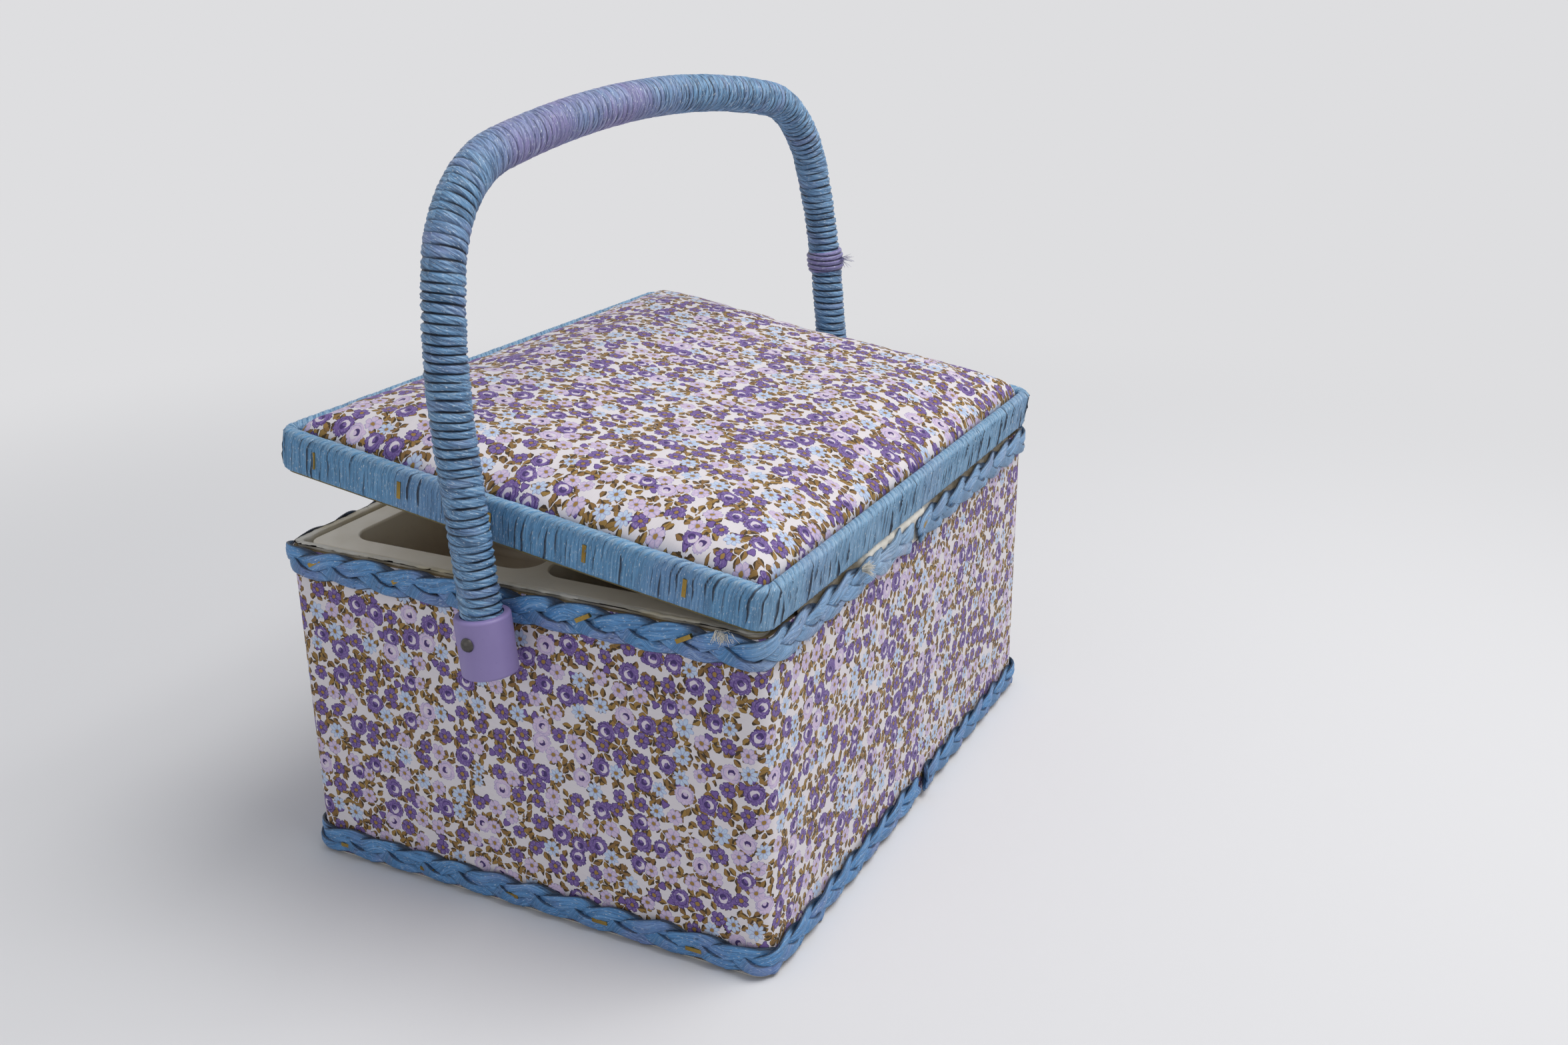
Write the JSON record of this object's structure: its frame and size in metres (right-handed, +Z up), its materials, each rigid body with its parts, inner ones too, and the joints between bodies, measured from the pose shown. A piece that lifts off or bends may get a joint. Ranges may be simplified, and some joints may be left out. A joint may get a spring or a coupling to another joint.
{
  "type": "sewing basket",
  "caption": "Oblong cloth-covered sewing box with braided edges, a hinged padded lid standing ajar, a lift-out pocket tray and a wound swing handle.",
  "frame": {"origin": "middle of the underside of the base, on the surface the box stands on", "axes": "+Z up, X along the length and the handle's pivots, +Y towards the hinged back, -Y the side that opens"},
  "size_m": [0.34, 0.2236, 0.3153],
  "materials": {
    "printed_cotton": "matte",
    "base_sheet": "matte",
    "fibreboard": "matte",
    "lining_satin": "satin",
    "wadding": "matte",
    "hinge_tape": "matte",
    "blue_raffia": "satin",
    "lilac_raffia": "satin",
    "rim_board": "matte",
    "cane": "matte",
    "lilac_plastic": "satin",
    "cream_plastic": "satin",
    "nickel": "polished",
    "brass_wire": "satin"
  },
  "bodies": {
    "box": {"base_cloth": "base_sheet", "base_board": "fibreboard", "wall_board": "fibreboard", "body_cover": "printed_cotton", "body_lining": "lining_satin", "floor_pad": "wadding", "tray_ledges": "fibreboard", "tray": "cream_plastic", "hinge_cloth_box": "hinge_tape", "top_braid": "blue_raffia", "bottom_braid": "blue_raffia", "top_braid_staples": "brass_wire", "bottom_braid_staples": "brass_wire", "handle_rivets": "nickel", "rivet_washers": "nickel"},
    "lid": {"rim_strip": "rim_board", "rim_wrap": "blue_raffia", "lid_board": "fibreboard", "lid_pad": "wadding", "lid_cover": "printed_cotton", "lid_lining": "lining_satin", "hinge_cloth_lid": "hinge_tape", "rim_staples": "brass_wire"},
    "handle": {"handle_core": "cane", "handle_wrap_right": "blue_raffia", "handle_wrap_top": "blue_raffia", "handle_wrap_left": "blue_raffia", "handle_cup_right": "lilac_plastic", "handle_cup_left": "lilac_plastic", "handle_tie": "lilac_raffia"}
  },
  "joints": [
    {"name": "lid_hinge", "type": "hinge", "parent": "box", "child": "lid", "pos_m": [0, 0.1097, 0.1419], "axis": [-1, 0, 0], "range_deg": [-8.3, 22]},
    {"name": "handle_swing", "type": "hinge", "parent": "box", "child": "handle", "pos_m": [0, 0, 0.128], "axis": [1, 0, 0], "range_deg": [-127, 117]}
  ]
}
